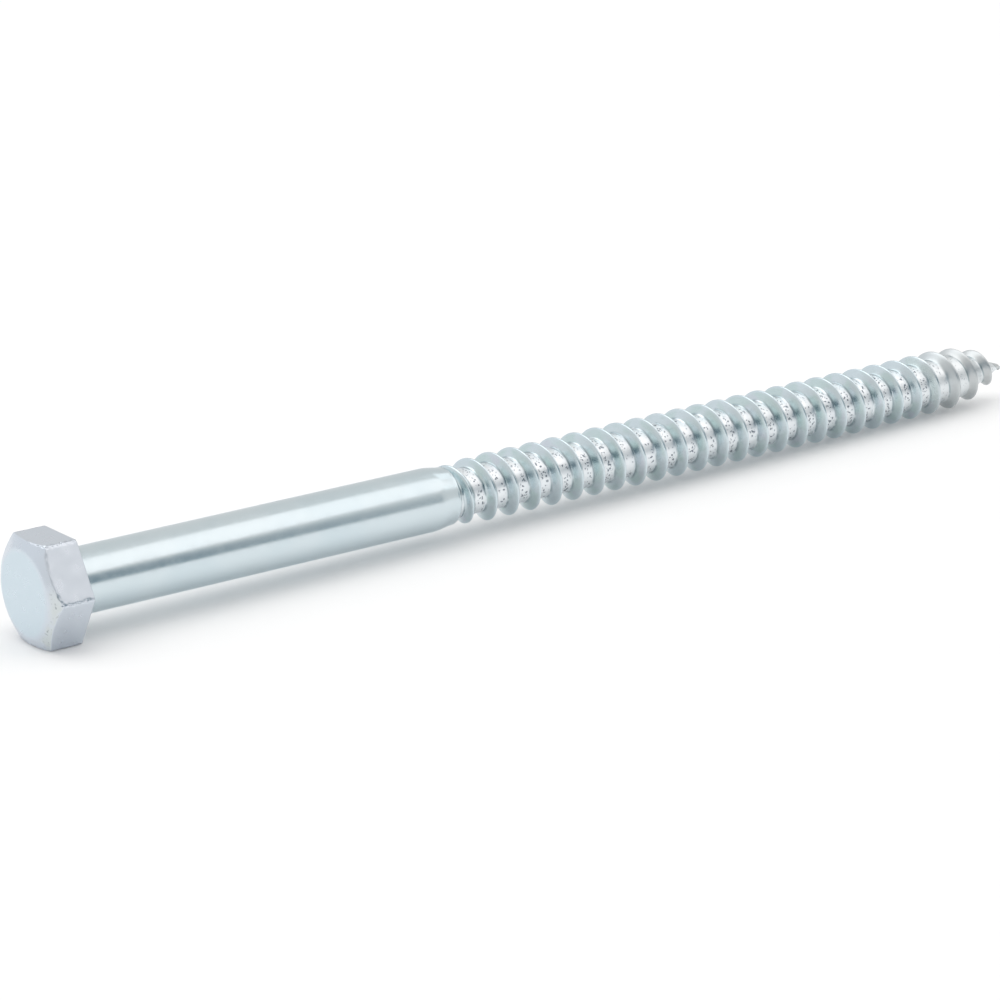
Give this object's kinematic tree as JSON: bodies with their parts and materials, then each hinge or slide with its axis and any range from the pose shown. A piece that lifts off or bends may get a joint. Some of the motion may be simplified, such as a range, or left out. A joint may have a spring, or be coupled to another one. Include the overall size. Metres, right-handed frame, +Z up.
{
  "type": "coach screw",
  "caption": "Large zinc-plated wood screw with a chamfered hexagonal head, a plain round shank, a coarse right-hand thread and a gimlet point.",
  "frame": {"origin": "centre of the bearing face under the head, on the screw's own axis", "axes": "+X from the head towards the point; the screw lies at rest on a flat of its head and on a thread crest, so its axis dips 0.93 degrees below +X; +Y across, through two corners of the head; +Z up"},
  "size_m": [0.2281, 0.022, 0.0191],
  "materials": {
    "zinc_plated_steel": "satin"
  },
  "bodies": {
    "root": {"coach_screw": "zinc_plated_steel"}
  },
  "joints": []
}
